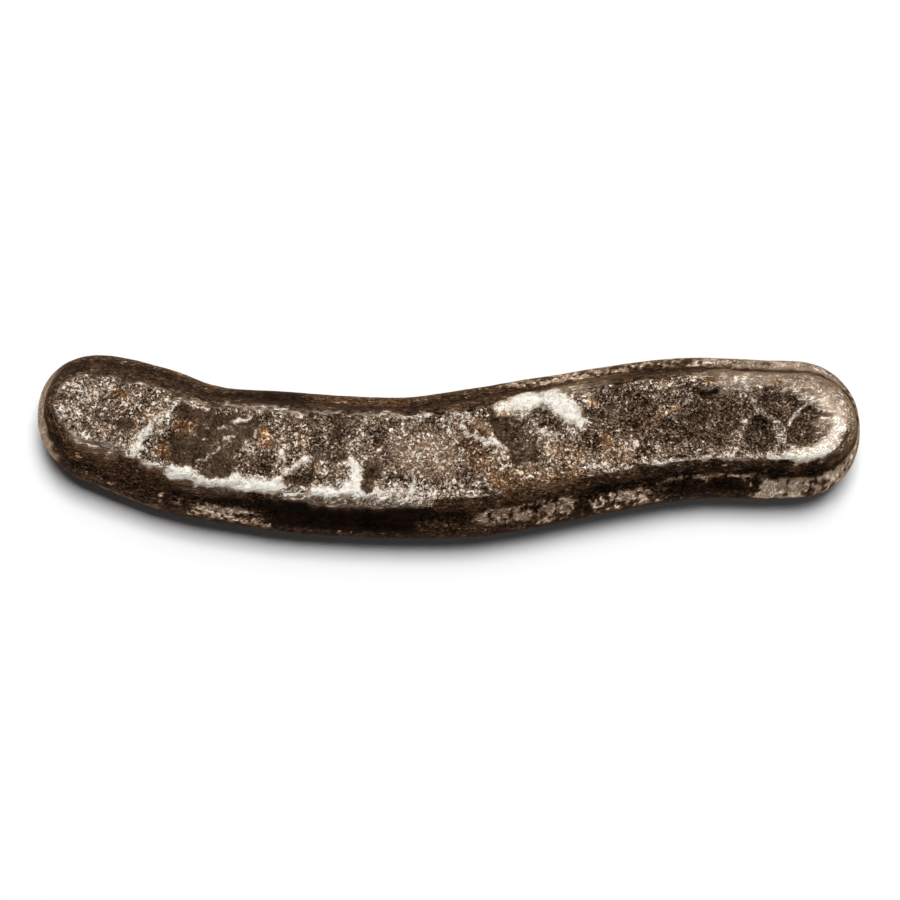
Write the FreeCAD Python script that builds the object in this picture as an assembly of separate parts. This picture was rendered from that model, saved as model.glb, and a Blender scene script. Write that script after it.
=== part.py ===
"""Hand-cast silver trade bar: one solid of bare metal, poured in one go, in millimetres.

The bar lies on its belly. +Z is up, +X runs along the bar and +Y across it. The origin is under
the middle of the bar's bounding box, on the level that the foot rests on.

The form is a stack of closed rings. Each ring is the plan outline of the bar, drawn in from its
sides and its two tips by its own amounts, at its own height:

    face   the rough cast face on top, flat, with a rounded edge
    brow   the steep bevel under the face
    root   the crease where the bevel meets the lip
    lip    the rounded lip that runs round the bar
    waist  the widest outline of the bar
    bilge  where the side turns under
    belly  the shallow underside, which rises towards both tips
    foot   the flat that the bar rests on
"""

import FreeCAD
import Part

import math
import os

# ---- overall sizes -------------------------------------------------------------------------
LENGTH = 114.0            # tip to tip, along X
WIDTH = 21.0              # across the broadest place, square to the bar's own line
THICKNESS = 11.4          # from the foot to the rough face
CAP_LENGTH = 9.0          # how far from a tip the outline reaches its full width
SHORTEST_CAP = 0.9        # an inner ring's tip is at least this share of its own half width long
CAP_POWER = 2.15          # 2 gives an elliptic tip, and more gives a squarer one

# ---- the bar's line and width, by share of the length from the left tip --------------------
BEND = [                  # (share of the length, sideways offset of the bar's line in mm)
    (0.00, 3.7),
    (0.07, 3.2),
    (0.13, 1.15),
    (0.19, -1.3),
    (0.26, -2.6),
    (0.43, -4.0),
    (0.54, -3.1),
    (0.71, 0.4),
    (0.80, 1.7),
    (0.89, 1.5),
    (1.00, 1.4),
]
NARROWING = [             # (share of the length, mm taken off WIDTH)
    (0.00, 3.0),
    (0.07, 2.9),
    (0.13, 2.0),
    (0.20, 2.2),
    (0.32, 1.2),
    (0.43, 1.2),
    (0.56, 0.0),
    (0.66, 0.5),
    (0.78, 0.9),
    (0.89, 1.4),
    (1.00, 1.8),
]

# ---- heights of the rings ------------------------------------------------------------------
ROOT_DROP = 3.1           # the crease lies this far under the rough face
BROW_DROP = 1.0           # and the middle of the bevel this far
BELLY_RISE = 0.10         # the rounded body under the crease, by share of the crease's height
BILGE_RISE = 0.33
WAIST_RISE = 0.60
LIP_RISE = 0.86

# ---- how far each ring is drawn in: sides at the left and right tip, then the two tips -----
FOOT_SIDES, FOOT_TIPS = (6.0, 5.6), (24.0, 14.0)
BELLY_SIDES, BELLY_TIPS = (3.2, 2.9), (11.0, 6.5)
BILGE_SIDES, BILGE_TIPS = (0.9, 0.8), (3.2, 2.2)
WAIST_SIDES, WAIST_TIPS = (0.0, 0.0), (0.0, 0.0)
LIP_SIDES, LIP_TIPS = (0.7, 0.8), (0.5, 0.3)
ROOT_SIDES, ROOT_TIPS = (1.8, 2.5), (1.2, 0.8)
BROW_SIDES, BROW_TIPS = (3.2, 3.4), (2.1, 1.3)
FACE_SIDES, FACE_TIPS = (4.3, 4.0), (3.0, 1.9)

FACE_EDGE_RADIUS = 0.7    # rounding of the rough face's edge

# ---- shrinkage pockets sunk into the rough face near the right tip --------------------------
POCKETS = [               # (mm in from the right tip, mm across, half length, half width, turn)
    (8.2, -0.2, 3.6, 1.9, 58.0),
    (12.6, 2.6, 3.4, 2.0, -28.0),
    (14.4, -2.9, 2.4, 1.7, 20.0),
    (20.6, 0.6, 4.6, 3.1, 12.0),
]
POCKET_DEPTH = 0.75       # of every pocket, at its middle
POCKET_SINK = 0.45        # share of the scooping ellipsoid's half height that goes under the face

# ---- how finely the rings are drawn --------------------------------------------------------
CAP_STEPS = 10            # points round half a tip
SIDE_STEPS = 26           # points along a side
LEVEL = 0.01              # edges this near a height are taken to lie at it


def smooth(stations, share):
    """The value at a share of the length: a cubic through the stations, level at both ends."""
    last = len(stations) - 1
    k = min(max(i for i, (at, _) in enumerate(stations) if at <= share), last - 1)

    def slope(i):
        if i in (0, last):
            return 0.0
        (x0, y0), (x1, y1) = stations[i - 1], stations[i + 1]
        return (y1 - y0) / (x1 - x0)

    (x0, y0), (x1, y1) = stations[k], stations[k + 1]
    step = x1 - x0
    t = (share - x0) / step
    return (
        y0 * (1 + 2 * t) * (1 - t) ** 2
        + slope(k) * step * t * (1 - t) ** 2
        + y1 * t * t * (3 - 2 * t)
        + slope(k + 1) * step * t * t * (t - 1)
    )


def on_bar(along, across, height):
    """A point given along the bar's own line from the left tip, and square to that line."""
    share = min(max(along / LENGTH, 0.0), 1.0)
    tiny = 1e-4
    before, after = max(share - tiny, 0.0), min(share + tiny, 1.0)
    rise = (smooth(BEND, after) - smooth(BEND, before)) / ((after - before) * LENGTH)
    scale = math.hypot(1.0, rise)
    return FreeCAD.Vector(
        along - LENGTH / 2 - across * rise / scale,
        smooth(BEND, share) + across / scale,
        height,
    )


def cap(turn):
    """Shares of a tip's length and of its half width, at a turn of 0 (tip) to 90 degrees (side)."""
    power = 2 / CAP_POWER
    return 1 - abs(math.cos(turn)) ** power, abs(math.sin(turn)) ** power


def half_outline(tips, cap_lengths):
    """Places from the left tip to the right tip: (mm along the bar, share of the half width)."""
    turns = [math.radians(90.0) * i / CAP_STEPS for i in range(CAP_STEPS + 1)]
    left = [(tips[0] + cap(t)[0] * cap_lengths[0], cap(t)[1]) for t in turns]
    right = [(LENGTH - tips[1] - cap(t)[0] * cap_lengths[1], cap(t)[1]) for t in reversed(turns)]
    start, stop = left[-1][0], right[0][0]
    side = [(start + (stop - start) * i / SIDE_STEPS, 1.0) for i in range(1, SIDE_STEPS)]
    return left + side + right


def ring(height, sides, tips):
    """The corner points of a closed plan outline, drawn in by sides and tips, at that height."""
    cap_lengths = [
        max(CAP_LENGTH - tip, SHORTEST_CAP * (WIDTH / 2 - side))
        for side, tip in zip(sides, tips)
    ]

    def half_width(along):
        share = along / LENGTH
        inset = sides[0] + (sides[1] - sides[0]) * share
        return (WIDTH - smooth(NARROWING, share)) / 2 - inset

    half = half_outline(tips, cap_lengths)
    front = [on_bar(along, -half_width(along) * part, height) for along, part in half]
    back = [on_bar(along, half_width(along) * part, height) for along, part in half[-2:0:-1]]
    return front + back


def running_lengths(points):
    """The distance run along a line of points, at each of them."""
    lengths = [0.0]
    for here, there in zip(points, points[1:]):
        lengths.append(lengths[-1] + here.distanceToPoint(there))
    return lengths


def skin(rings):
    """One smooth surface that passes through every ring, closed on itself round the bar."""
    widest = max(rings, key=lambda points: running_lengths(points)[-1])
    around = running_lengths(widest + widest[:1])
    courses = []
    for points in rings:
        course = Part.BSplineCurve()
        course.interpolate(Points=points, Parameters=around, PeriodicFlag=True)
        courses.append(course)
    front_middle = len(widest) // 4
    upwards = running_lengths([points[front_middle] for points in rings])
    strakes = []
    for poles in zip(*(course.getPoles() for course in courses)):
        strake = Part.BSplineCurve()
        strake.interpolate(Points=list(poles), Parameters=upwards)
        strakes.append(strake)
    surface = Part.BSplineSurface()
    surface.buildFromPolesMultsKnots(
        [strake.getPoles() for strake in strakes],
        courses[0].getMultiplicities(),
        strakes[0].getMultiplicities(),
        courses[0].getKnots(),
        strakes[0].getKnots(),
        True,
        False,
        courses[0].Degree,
        strakes[0].Degree,
    )
    return surface.toShape()


def body():
    """The rings skinned and closed into one solid, with the edge of the rough face rounded."""
    crease = THICKNESS - ROOT_DROP
    side = skin([
        ring(0.0, FOOT_SIDES, FOOT_TIPS),
        ring(BELLY_RISE * crease, BELLY_SIDES, BELLY_TIPS),
        ring(BILGE_RISE * crease, BILGE_SIDES, BILGE_TIPS),
        ring(WAIST_RISE * crease, WAIST_SIDES, WAIST_TIPS),
        ring(LIP_RISE * crease, LIP_SIDES, LIP_TIPS),
        ring(crease, ROOT_SIDES, ROOT_TIPS),
        ring(THICKNESS - BROW_DROP, BROW_SIDES, BROW_TIPS),
        ring(THICKNESS, FACE_SIDES, FACE_TIPS),
    ])
    flats = []
    for height in (0.0, THICKNESS):
        rim = [edge for edge in side.Edges if level_with(edge, height)]
        flats.append(Part.Face(Part.Wire(rim)))
    shell = Part.Shell([side] + flats)
    shell.sewShape()
    solid = Part.Solid(shell)
    rim = [edge for edge in solid.Edges if level_with(edge, THICKNESS)]
    return solid.makeFillet(FACE_EDGE_RADIUS, rim)


def level_with(edge, height):
    """Whether an edge lies flat at that height."""
    box = edge.BoundBox
    return max(abs(box.ZMin - height), abs(box.ZMax - height)) < LEVEL


def pocket(from_right_tip, across, half_length, half_width, turn):
    """An ellipsoid whose lower part scoops one pocket out of the rough face."""
    half_height = POCKET_DEPTH / POCKET_SINK
    rim = 1 / math.sqrt(1 - (1 - POCKET_SINK) ** 2)
    scoop = Part.makeSphere(1.0)
    stretch = FreeCAD.Matrix()
    stretch.scale(half_length * rim, half_width * rim, half_height)
    scoop = scoop.transformGeometry(stretch)
    scoop.rotate(FreeCAD.Vector(0, 0, 0), FreeCAD.Vector(0, 0, 1), turn)
    lift = THICKNESS - POCKET_DEPTH + half_height
    scoop.translate(on_bar(LENGTH - from_right_tip, across, lift))
    return scoop


def centred(solid):
    """The solid moved so that the origin is under the middle of its bounding box."""
    box = solid.optimalBoundingBox(False, False)
    middle = FreeCAD.Vector((box.XMin + box.XMax) / 2, (box.YMin + box.YMax) / 2, box.ZMin)
    solid.translate(middle * -1)
    return solid


def silver_ingot():
    """The whole bar, with its pockets, standing on the origin."""
    solid = body()
    for place in POCKETS:
        solid = solid.cut(pocket(*place))
    return centred(solid)


def main():
    os.makedirs("parts", exist_ok=True)
    ingot = silver_ingot()
    ingot.exportStep("parts/silver_ingot.step")
    box = ingot.optimalBoundingBox(False, False)
    print(f"solids {len(ingot.Solids)}, faces {len(ingot.Faces)}, valid {ingot.isValid()}")
    print(f"volume {ingot.Volume:.0f} mm3, box {box.XLength:.2f} x {box.YLength:.2f} x {box.ZLength:.2f} mm")


if __name__ == "__main__":
    main()
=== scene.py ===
"""Hand-cast silver trade bar, with its pitted and tarnished skin, on a plain studio floor.

The bar is one closed mesh. Rings of points run round it at their own heights, from the foot up the
side, over the edge and in across the rough face, as in the CAD model. Relief is then added along
the surface's own normals, and the same places and noises say where the silver shows bare and
where highlights and shade are painted into its colour.
"""

import math
from functools import partial

import bpy
import numpy as np
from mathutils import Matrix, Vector


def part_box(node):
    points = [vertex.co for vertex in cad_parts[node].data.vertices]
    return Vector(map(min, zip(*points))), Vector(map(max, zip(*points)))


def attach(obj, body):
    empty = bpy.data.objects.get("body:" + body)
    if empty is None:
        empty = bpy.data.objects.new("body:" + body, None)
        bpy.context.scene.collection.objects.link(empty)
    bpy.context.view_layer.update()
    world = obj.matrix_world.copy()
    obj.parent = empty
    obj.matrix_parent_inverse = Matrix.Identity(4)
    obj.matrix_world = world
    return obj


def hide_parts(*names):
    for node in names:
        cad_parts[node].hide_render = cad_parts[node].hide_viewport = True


bl_info = {
    "name": "Cast Silver Bar",
    "version": (1, 0, 0),
    "blender": (4, 5, 0),
    "location": "View3D > Sidebar > Silver Bar",
    "description": "Builds a hand-cast silver trade bar with its pitted, tarnished skin",
    "category": "Add Mesh",
}

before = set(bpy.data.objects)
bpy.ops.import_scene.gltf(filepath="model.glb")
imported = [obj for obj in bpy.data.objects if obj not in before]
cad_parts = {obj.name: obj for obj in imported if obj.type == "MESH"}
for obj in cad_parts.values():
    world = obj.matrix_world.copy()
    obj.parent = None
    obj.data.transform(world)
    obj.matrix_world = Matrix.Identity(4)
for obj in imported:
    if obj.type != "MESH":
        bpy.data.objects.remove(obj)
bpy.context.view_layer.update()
MM = 0.001

# ---- the bar's form in millimetres, as in the CAD model ----
NODE = "silver_ingot"
LOW, HIGH = (np.array(corner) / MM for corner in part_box(NODE))
SPILL = 0.22              # how much longer the bent outline's box is than the bar's own length
BEND = [                  # (share of the length from the left tip, sideways offset)
    (0, 3.7), (0.07, 3.2), (0.13, 1.15), (0.19, -1.3), (0.26, -2.6), (0.43, -4),
    (0.54, -3.1), (0.71, 0.4), (0.8, 1.7), (0.89, 1.5), (1, 1.4),
]
NARROWING = [             # (share of the length, taken off the width)
    (0, 3), (0.07, 2.9), (0.13, 2), (0.2, 2.2), (0.32, 1.2), (0.43, 1.2),
    (0.56, 0), (0.66, 0.5), (0.78, 0.9), (0.89, 1.4), (1, 1.8),
]
CAP_LENGTH = 9.0          # how far from a tip the outline reaches its full width
SHORTEST_CAP = 0.9        # of an inner ring, by share of its own half width
CAP_POWER = 2.15          # 2 gives an elliptic tip, and more gives a squarer one
WIDTH = 21.0              # across the broadest place
ROOT_DROP, BROW_DROP = 3.1, 1.0       # the crease and the bevel's middle, under the rough face
TALLEST_GRIT = 0.25       # how far relief may stand above the bar's thickness
EDGE_DROP = 0.28          # how far the rough face's edge is rounded down
EDGE_RUN = 0.55           # mm in from the edge over which that rounding fades
EDGE_STEP = 0.22          # and the same down the bevel, in ring places

# The rings: a name, (sides drawn in at the left and right tip), (tips drawn in at left and right)
RINGS = [
    ("foot", (6.0, 5.6), (24.0, 14.0)),
    ("belly", (3.2, 2.9), (11.0, 6.5)),
    ("bilge", (0.9, 0.8), (3.2, 2.2)),
    ("waist", (0.0, 0.0), (0.0, 0.0)),
    ("lip", (0.7, 0.8), (0.5, 0.3)),
    ("root", (1.8, 2.5), (1.2, 0.8)),
    ("brow", (3.2, 3.4), (2.1, 1.3)),
    ("face", (4.3, 4.0), (3.0, 1.9)),
]
ROOT, BROW, FACE = 5, 6, 7            # the places of the last three in that list
SIDE_HEIGHTS = (0.0, 0.10, 0.33, 0.60, 0.86, 1.0)     # foot to root, by share of the root's height

# ---- how finely the mesh is laid ----
AROUND = 1320             # points round every ring, an even number
COURSES = [               # (from this place up the side, to this place, rings between them)
    (0.0, 2.0, 7), (2.0, 3.4, 6), (3.4, 5.4, 12), (5.4, 7.0, 11),
]
FOOT_COURSES = 5          # rings across half of the foot
FACE_COURSES = 30         # rings across half of the rough face
CAP_PLACES = 0.11         # share of half a ring's points that turn round each of its tips
TIP_PULL = 0.95           # how far shrinking rings leave the tips, by share of how far the sides
PULL_REACH = 19.55        # mm from a tip over which they are drawn away from it
SLOPE_STEP = 1e-4         # share of the length over which the line's slope is read


def srgb(code):
    """An sRGB hex colour as the linear red, green, blue and alpha that Blender's sockets take."""
    parts = [int(code[i:i + 2], 16) / 255 for i in (1, 3, 5)]
    line = [p / 12.92 if p <= 0.04045 else ((p + 0.055) / 1.055) ** 2.4 for p in parts]
    return (*line, 1.0)


# ---- curves, noise and brushes, all on whole arrays ----
def through(stations, where, level):
    """A cubic Hermite curve through (place, value) stations, read at an array of places.

    The slope at a station is the chord between its two neighbours. It is level at the two ends
    if level is "ends", and wherever the values turn back if level is "turns".
    """
    at, value = np.array(stations, dtype=float).T
    step, rise = np.diff(at), np.diff(value)
    slope = np.empty_like(value)
    slope[1:-1] = (value[2:] - value[:-2]) / (at[2:] - at[:-2])
    slope[0], slope[-1] = rise[0] / step[0], rise[-1] / step[-1]
    if level == "ends":
        slope[[0, -1]] = 0.0
    else:
        slope[1:-1][rise[1:] * rise[:-1] <= 0] = 0.0
    where = np.clip(where, at[0], at[-1])
    k = np.clip(np.searchsorted(at, where, side="right") - 1, 0, len(at) - 2)
    step = at[k + 1] - at[k]
    t = (where - at[k]) / step
    return (
        value[k] * (1 + 2 * t) * (1 - t) ** 2
        + slope[k] * step * t * (1 - t) ** 2
        + value[k + 1] * t * t * (3 - 2 * t)
        + slope[k + 1] * step * t * t * (t - 1)
    )


def ease(value, start, stop):
    """0 up to start, 1 from stop on, and 3t^2 - 2t^3 between them."""
    t = np.clip((value - start) / (stop - start), 0.0, 1.0)
    return t * t * (3 - 2 * t)


def blend(one, other, share):
    """One value where the share is 0, the other where it is 1, and a straight mix between."""
    return one * (1 - share) + other * share


def shuffle(cells, seed):
    """One whole number per cell, from products of its three counts with large primes."""
    x, y, z = (cells[..., i].astype(np.uint64) for i in range(3))
    mixed = (x * np.uint64(73856093)) ^ (y * np.uint64(19349663)) ^ (z * np.uint64(83492791))
    mixed ^= np.uint64(seed * 2654435761 % 2 ** 32)
    mixed = (mixed ^ (mixed >> np.uint64(13))) * np.uint64(1274126177)
    return (mixed ^ (mixed >> np.uint64(16))) & np.uint64(0xFFFF)


def waves(points, size, seed):
    """Gradient noise from about -1 to 1: at the corners of cells of that size stand random
    slopes, and between them their rises are blended with 6t^5 - 15t^4 + 10t^3."""
    places = points / size + 1000.0
    cells = np.floor(places)
    part = places - cells
    fade = part ** 3 * (part * (part * 6 - 15) + 10)
    total = np.zeros(len(points))
    for corner in np.ndindex(2, 2, 2):
        turn = shuffle(cells + corner, seed).astype(float) * (2 * math.pi / 65536)
        tilt = shuffle(cells + corner, seed + 1).astype(float) / 32768 - 1
        flat = np.sqrt(1 - tilt ** 2)
        reach = part - corner
        rise = reach[:, 0] * flat * np.cos(turn) + reach[:, 1] * flat * np.sin(turn)
        rise += reach[:, 2] * tilt
        weight = np.prod(np.where(corner, fade, 1 - fade), axis=1)
        total += weight * rise
    return total * 1.7


def rough(points, size, octaves, seed):
    """Waves on top of waves, each half the size and half the height of the last."""
    total = np.zeros(len(points))
    for i in range(octaves):
        total += waves(points, size / 2 ** i, seed + 10 * i) / 2 ** i
    return total


def grains(points, size, seed):
    """How near each point lies to the middle of a random grain: 1 at its middle, 0 a cell away."""
    places = points / size + 1000.0
    cells = np.floor(places)
    nearest = np.full(len(points), 9.0)
    for step in np.ndindex(3, 3, 3):
        cell = cells + step - 1
        middle = np.stack([shuffle(cell, seed + i) / np.float64(65536) for i in range(3)], axis=1)
        nearest = np.minimum(nearest, ((cell + middle - places) ** 2).sum(axis=1))
    return 1 - np.clip(np.sqrt(nearest), 0.0, 1.0)


def brush(points, path, half_width, softness):
    """A stroke along a path of (x, y) places: 1 near it, falling to 0 at its half width.

    softness is the share of the half width over which it falls.
    """
    flat = points[:, :2]
    nearest = np.full(len(points), 1e9)
    corners = [np.array(place, dtype=float) for place in path]
    for a, b in zip(corners, corners[1:] or corners):
        run = b - a
        length = float(run @ run)
        t = np.clip((flat - a) @ run / length, 0.0, 1.0) if length else np.zeros(len(flat))
        gap = flat - a - t[:, None] * run
        nearest = np.minimum(nearest, (gap ** 2).sum(axis=1))
    return ease(1 - np.sqrt(nearest) / half_width, 0.0, softness)


# ---- the closed rings ----
def even_turns(bar, count):
    """Places along half an outline, from the left tip (0) to the right (1), evenly spaced.

    They are read off the widest ring: many places are laid along it, their running length is
    added up, and the even lengths are looked up in it.
    """
    fine = np.linspace(0.0, 1.0, 8 * count)
    widest = np.zeros((1, 2))
    along, share = half_outline(bar, fine, widest, widest)
    x, y = on_bar(along[0], share[0] * half_width(bar, along[0], widest)[0])
    run = np.concatenate([[0.0], np.cumsum(np.hypot(np.diff(x), np.diff(y)))])
    return np.interp(np.linspace(0.0, run[-1], count + 1), run, fine)


def bar_length():
    """The bar's own length: its box's, less what the bend of its wide tips adds."""
    return HIGH[0] - LOW[0] - SPILL


def half_width(bar, along, sides):
    """Half the width of each ring at a place along the bar, drawn in at its sides."""
    share = along / bar_length()
    inset = sides[:, :1] + (sides[:, 1:] - sides[:, :1]) * share
    return (bar.width - through(NARROWING, share, "ends")) / 2 - inset


def half_outline(bar, places, tips, sides):
    """Half an outline: (mm along the bar, share of the half width) for places from 0 to 1.

    The first and last places turn through a superellipse, x = 1 - cos^(2/p) and
    y = sin^(2/p), and the rest run along the side.
    """
    wide = bar.width / 2 - sides
    caps = np.maximum(CAP_LENGTH - tips, SHORTEST_CAP * wide)
    turn_left = np.clip(places / CAP_PLACES, 0.0, 1.0) * math.pi / 2
    turn_right = np.clip((1 - places) / CAP_PLACES, 0.0, 1.0) * math.pi / 2
    power = 2 / CAP_POWER
    reach_left = 1 - np.cos(turn_left) ** power
    reach_right = 1 - np.cos(turn_right) ** power
    share = np.minimum(np.sin(turn_left), np.sin(turn_right)) ** power
    start = tips[:, :1] + caps[:, :1]
    stop = bar_length() - tips[:, 1:] - caps[:, 1:]
    run = np.clip((places - CAP_PLACES) / (1 - 2 * CAP_PLACES), 0.0, 1.0)
    along = start + (stop - start) * run
    along = along - caps[:, :1] * (1 - reach_left) + caps[:, 1:] * (1 - reach_right)
    return along, np.broadcast_to(share, along.shape)


def on_bar(along, across):
    """Places given along the bar's bent line and square to it, as x and y."""
    share = along / bar_length()
    before = np.clip(share - SLOPE_STEP, 0, 1)
    after = np.clip(share + SLOPE_STEP, 0, 1)
    rise = through(BEND, after, "ends") - through(BEND, before, "ends")
    rise = rise / ((after - before) * bar_length())
    scale = np.hypot(1.0, rise)
    x = along - bar_length() / 2 - across * rise / scale
    return x, through(BEND, share, "ends") + across / scale


def side_profile(bar):
    """The rings from the foot to the rough face's rim: place, sides and tips drawn in, height."""
    crease = bar.thickness - bar.root_drop
    heights = [share * crease for share in SIDE_HEIGHTS]
    heights += [bar.thickness - BROW_DROP, bar.thickness]
    pieces = [np.linspace(a, b, n, endpoint=False) for a, b, n in COURSES]
    place = np.concatenate(pieces + [[float(FACE)]])
    listed = np.arange(len(RINGS))
    read = [through(list(zip(listed, column)), place, "turns") for column in (
        [sides[0] for _, sides, _ in RINGS], [sides[1] for _, sides, _ in RINGS],
        [tips[0] for _, _, tips in RINGS], [tips[1] for _, _, tips in RINGS], heights,
    )]
    return place, np.stack(read[:2], axis=1), np.stack(read[2:4], axis=1), read[4]


def bar_rings(bar):
    """All ring points as (rings, points round, xyz), and each ring's place from foot to middle.

    Inside the foot and inside the rough face the last ring shrinks towards the bar's own line,
    and stops half a step short of it. The face's edge is rounded by e^-t on both sides of it.
    """
    place, sides, tips, height = side_profile(bar)
    height = height - EDGE_DROP * np.exp((place - FACE) / EDGE_STEP)
    turns = even_turns(bar, AROUND // 2)

    def grid(sides, tips, height, shrink):
        along, share = half_outline(bar, turns, tips, sides)
        wide = half_width(bar, along, sides) * (1 - shrink)
        middle = bar_length() / 2
        inward = np.minimum(along, bar_length() - along)
        pull = shrink * (bar.width / 2 - sides.mean(axis=1, keepdims=True)) * TIP_PULL
        near_tip = 1 - ease(inward, tips.mean(), tips.mean() + PULL_REACH)
        along = along + np.sign(middle - along) * pull * near_tip
        front = np.stack([*on_bar(along, -wide * share), np.broadcast_to(height, along.shape)], -1)
        back = np.stack([*on_bar(along, wide * share), np.broadcast_to(height, along.shape)], -1)
        return np.concatenate([front, back[:, -2:0:-1]], axis=1)

    def inner(row, count, edge_drop):
        shrink = (np.arange(count)[:, None] + 1) / (count + 0.5)
        one = np.ones((count, 1))
        inward = shrink * (bar.width / 2 - sides[row].mean())
        risen = height[row] + edge_drop * (1 - np.exp(-inward / EDGE_RUN))
        return grid(sides[row] * one, tips[row] * one, risen, shrink)

    side = grid(sides, tips, height[:, None], np.zeros((len(place), 1)))
    foot = inner(0, FOOT_COURSES, 0.0)[::-1]
    face = inner(-1, FACE_COURSES, EDGE_DROP)
    points = np.concatenate([foot, side, face])
    depth = np.concatenate([
        -(np.arange(FOOT_COURSES)[::-1] + 1) / FOOT_COURSES,
        place,
        FACE + (np.arange(FACE_COURSES) + 1) / FACE_COURSES,
    ])
    low, high = points[..., :2].min(axis=(0, 1)), points[..., :2].max(axis=(0, 1))
    points[..., :2] -= (low + high) / 2
    return points, depth


def normals(points):
    """Outward unit normals of the ring grid: the step round it crossed with the step up it."""
    around = np.roll(points, -1, axis=1) - np.roll(points, 1, axis=1)
    up = np.gradient(points, axis=0)
    out = np.cross(around, up)
    return out / np.maximum(np.linalg.norm(out, axis=2, keepdims=True), 1e-12)


def ring_faces(rings):
    """Quads between neighbouring rings, and a ladder of quads that closes the first and last."""
    j = np.arange(AROUND)
    rows = np.arange(rings - 1)[:, None] * AROUND
    beside = (j + 1) % AROUND
    quads = np.stack([rows + j, rows + beside, rows + AROUND + beside, rows + AROUND + j], -1)
    half = AROUND // 2
    k = np.arange(1, half - 1)
    ladder = np.stack([k, k + 1, AROUND - k - 1, AROUND - k], -1)
    tips = np.array([[0, 1, AROUND - 1], [half - 1, half, half + 1]])
    top = (rings - 1) * AROUND
    quads = np.concatenate([quads.reshape(-1, 4), ladder + top, ladder[:, ::-1]])
    tris = np.concatenate([tips + top, tips[:, ::-1]])
    return quads.tolist() + tris.tolist()


# ---- what is to be seen, placed in millimetres from the bar's middle ----
# Each kind says how soft its edge is, how far it raises the skin in mm, and what it paints:
# tone is how pale the skin is, from black at 0 to clean silver at 1, and it carries painted
# highlights and painted shade as well, grain is how coarse and speckled it is, rust is how orange
# it is, smooth is how far the metal is worn smooth, and streak is how far its grit is drawn out
# along the bar.
LAYERS = ("tone", "grain", "rust", "smooth", "streak")
LEAST_RUST = -0.3         # below 0, so that no noise can bring rust to the greyest skins
KINDS = {                 # (softness, relief, then the layers: None, or left off, is left alone)
    # ridge, bright and crest paint pale bare silver, with painted highlights on it as well
    "ridge":  (0.90, 0.32, 0.80, 1.00, 0.05, None, 0.00),
    "rise":   (0.90, 0.34, 0.54, 1.00, 0.08, None, 0.00),
    "bright": (0.90, 0.06, 0.62, 1.00, 0.05, None, 0.00),
    "crest_highlight":  (0.80, 0.22, 1.00, 0.85, 0.00, None, 0.00),
    # hollow and pit are sunk, and painted dark as the shade in them
    "hollow": (1.00, -0.60, 0.32, 0.75),
    "pit":    (0.60, -0.36, 0.12, 0.30, None, 0.00),
    "skin":   (0.20, -0.06, 0.23, 0.32, -0.40, 0.30),
    "stain":  (0.60, 0.02, 0.44, 0.65, 0.75),
    "mound":  (1.00, 0.60),
    "pale":   (0.80, 0.04, 0.53, 0.85, 0.25),
    "even":   (0.80, 0.04, 0.45, 0.52, 0.14),
    "dull":   (0.80, -0.08, 0.30, 0.72, 0.12),
    "worn":   (0.80, 0.02, 0.51, 0.32, 0.02, 1.00, 0.10),
    # The crescent on the right tip is smooth polished silver with a painted highlight on it
    "satin_highlight":  (0.70, 0.04, 0.75, 0.26, 0.08, 1.00),
    # grey is silver worn smooth, with a painted bluish sheen on it
    "grey":   (0.80, 0.00, 0.42, 0.55, -0.20, 0.80, 0.20),
    "black":  (0.60, -0.05, 0.05, 0.12, None, 0.50),
    "brown":  (0.80, 0.00, 0.32, 0.50, 0.60),
    # tan is tarnish rubbed to tan, and painted reflection of the white floor on the lip
    "tan":    (0.50, 0.03, 0.54, 0.50, 0.20, 0.55),
}
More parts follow.
